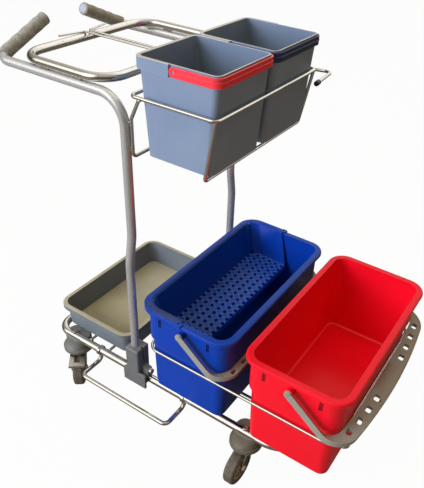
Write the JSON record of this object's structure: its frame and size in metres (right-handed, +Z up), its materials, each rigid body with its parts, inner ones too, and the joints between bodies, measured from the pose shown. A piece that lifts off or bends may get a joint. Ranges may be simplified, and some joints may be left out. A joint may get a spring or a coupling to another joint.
{
  "type": "janitorial cart",
  "caption": "Cleaning trolley with a chromed tube frame, swivel castors, push handles, bag ring, small bins, a tray and a pair of mop buckets with bails.",
  "frame": {"origin": "middle of the cart's footprint on the floor", "axes": "+X from the handles to the front bucket, +Y from the near side with the loop to the far side, +Z up"},
  "size_m": [1.0434, 0.5778, 1.039],
  "materials": {
    "chrome": "bright chrome plate",
    "grip_rubber": "ribbed moulded rubber",
    "plug_plastic": "moulded",
    "tyre_rubber": "grey rubber tread",
    "hub_plastic": "moulded",
    "bracket_plastic": "spark-textured moulding",
    "zinc_steel": "zinc plated",
    "red_plastic": "satin moulded",
    "blue_plastic": "satin moulded",
    "bail_plastic": "satin moulded",
    "bin_plastic": "satin moulded",
    "red_strip_plastic": "moulded",
    "navy_strip_plastic": "moulded",
    "tray_plastic": "satin moulded",
    "cap_plastic": "moulded"
  },
  "bodies": {
    "chassis": {"base_rear_tube": "chrome", "base_front_tube": "chrome", "cross_rods": "chrome", "side_loop": "chrome", "bucket_guard": "chrome", "near_tee_bracket": "bracket_plastic", "far_tee_bracket": "bracket_plastic", "tee_bolts": "zinc_steel", "near_upright": "chrome", "far_upright": "chrome", "near_grip": "grip_rubber", "far_grip": "grip_rubber", "near_grip_plug": "plug_plastic", "far_grip_plug": "plug_plastic", "bag_ring": "chrome", "ring_joiner": "chrome", "ring_pin": "chrome", "ring_saddles": "chrome", "bin_basket": "chrome", "hook_cap": "cap_plastic", "caster_bolts": "zinc_steel", "near_rear_caster_housing": "bracket_plastic", "near_front_caster_housing": "bracket_plastic", "far_rear_caster_housing": "bracket_plastic", "far_front_caster_housing": "bracket_plastic"},
    "near_rear_swivel": {"near_rear_fork": "zinc_steel", "near_rear_stem": "zinc_steel", "near_rear_axle": "zinc_steel"},
    "near_rear_wheel": {"near_rear_hub": "hub_plastic", "near_rear_tyre": "tyre_rubber"},
    "near_rear_brake": {"near_rear_brake": "zinc_steel"},
    "near_front_swivel": {"near_front_fork": "zinc_steel", "near_front_stem": "zinc_steel", "near_front_axle": "zinc_steel"},
    "near_front_wheel": {"near_front_hub": "hub_plastic", "near_front_tyre": "tyre_rubber"},
    "far_rear_swivel": {"far_rear_fork": "zinc_steel", "far_rear_stem": "zinc_steel", "far_rear_axle": "zinc_steel"},
    "far_rear_wheel": {"far_rear_hub": "hub_plastic", "far_rear_tyre": "tyre_rubber"},
    "far_rear_brake": {"far_rear_brake": "zinc_steel"},
    "far_front_swivel": {"far_front_fork": "zinc_steel", "far_front_stem": "zinc_steel", "far_front_axle": "zinc_steel"},
    "far_front_wheel": {"far_front_hub": "hub_plastic", "far_front_tyre": "tyre_rubber"},
    "red_bucket": {"red_bucket": "red_plastic"},
    "red_bail": {"red_bail": "bail_plastic"},
    "blue_bucket": {"blue_bucket": "blue_plastic"},
    "blue_bail": {"blue_bail": "bail_plastic"},
    "strainer": {"strainer": "blue_plastic"},
    "near_bin": {"near_bin": "bin_plastic"},
    "near_bin_bail": {"near_bin_bail": "red_strip_plastic"},
    "far_bin": {"far_bin": "bin_plastic"},
    "far_bin_bail": {"far_bin_bail": "navy_strip_plastic"},
    "tray": {"tray": "tray_plastic"},
    "bag_divider": {"bag_divider": "chrome"}
  },
  "joints": [
    {"name": "near_rear_swivel", "type": "hinge", "parent": "chassis", "child": "near_rear_swivel", "pos_m": [-0.36875, -0.1929, 0.11], "axis": [0, 0, 1], "continuous": true},
    {"name": "near_rear_roll", "type": "hinge", "parent": "near_rear_swivel", "child": "near_rear_wheel", "pos_m": [-0.34609, -0.22088, 0.05], "axis": [0.7771, 0.6293, 0], "continuous": true},
    {"name": "near_rear_brake_press", "type": "hinge", "parent": "near_rear_swivel", "child": "near_rear_brake", "pos_m": [-0.35868, -0.20533, 0.094], "axis": [0.7771, 0.6293, 0], "range_deg": [0, 7]},
    {"name": "near_front_swivel", "type": "hinge", "parent": "chassis", "child": "near_front_swivel", "pos_m": [0.23425, -0.1929, 0.11], "axis": [0, 0, 1], "continuous": true},
    {"name": "near_front_roll", "type": "hinge", "parent": "near_front_swivel", "child": "near_front_wheel", "pos_m": [0.23425, -0.2289, 0.05], "axis": [1, 0, 0], "continuous": true},
    {"name": "far_rear_swivel", "type": "hinge", "parent": "chassis", "child": "far_rear_swivel", "pos_m": [-0.36875, 0.2371, 0.11], "axis": [0, 0, 1], "continuous": true},
    {"name": "far_rear_roll", "type": "hinge", "parent": "far_rear_swivel", "child": "far_rear_wheel", "pos_m": [-0.35943, 0.20233, 0.05], "axis": [0.9659, 0.2588, 0], "continuous": true},
    {"name": "far_rear_brake_press", "type": "hinge", "parent": "far_rear_swivel", "child": "far_rear_brake", "pos_m": [-0.36461, 0.22165, 0.094], "axis": [0.9659, 0.2588, 0], "range_deg": [0, 7]},
    {"name": "far_front_swivel", "type": "hinge", "parent": "chassis", "child": "far_front_swivel", "pos_m": [0.23425, 0.2371, 0.11], "axis": [0, 0, 1], "continuous": true},
    {"name": "far_front_roll", "type": "hinge", "parent": "far_front_swivel", "child": "far_front_wheel", "pos_m": [0.25225, 0.20592, 0.05], "axis": [0.866, 0.5, 0], "continuous": true},
    {"name": "red_bucket_lift", "type": "slide", "parent": "chassis", "child": "red_bucket", "axis": [0, 0, 1], "range_m": [0, 0.16]},
    {"name": "red_bail_swing", "type": "hinge", "parent": "red_bucket", "child": "red_bail", "pos_m": [0.35175, 0.0221, 0.416], "axis": [0, -1, 0], "range_deg": [0, 125]},
    {"name": "blue_bucket_lift", "type": "slide", "parent": "chassis", "child": "blue_bucket", "axis": [0, 0, 1], "range_m": [0, 0.16]},
    {"name": "blue_bail_swing", "type": "hinge", "parent": "blue_bucket", "child": "blue_bail", "pos_m": [0.05275, 0.0221, 0.416], "axis": [0, -1, 0], "range_deg": [0, 125]},
    {"name": "strainer_lift", "type": "slide", "parent": "blue_bucket", "child": "strainer", "axis": [0, 0, 1], "range_m": [0, 0.05]},
    {"name": "near_bin_lift", "type": "slide", "parent": "chassis", "child": "near_bin", "axis": [0, 0, 1], "range_m": [0, 0.22]},
    {"name": "near_bin_bail_swing", "type": "hinge", "parent": "near_bin", "child": "near_bin_bail", "pos_m": [-0.00075, -0.0824, 1.026], "axis": [0, -1, 0], "range_deg": [0, 90]},
    {"name": "far_bin_lift", "type": "slide", "parent": "chassis", "child": "far_bin", "axis": [0, 0, 1], "range_m": [0, 0.22]},
    {"name": "far_bin_bail_swing", "type": "hinge", "parent": "far_bin", "child": "far_bin_bail", "pos_m": [-0.00075, 0.1266, 1.026], "axis": [0, -1, 0], "range_deg": [0, 90]},
    {"name": "tray_lift", "type": "slide", "parent": "chassis", "child": "tray", "axis": [0, 0, 1], "range_m": [0, 0.12]},
    {"name": "bag_divider_lift", "type": "hinge", "parent": "chassis", "child": "bag_divider", "pos_m": [-0.17175, 0.0191, 0.971], "axis": [0, 1, 0], "range_deg": [0, 100]}
  ]
}
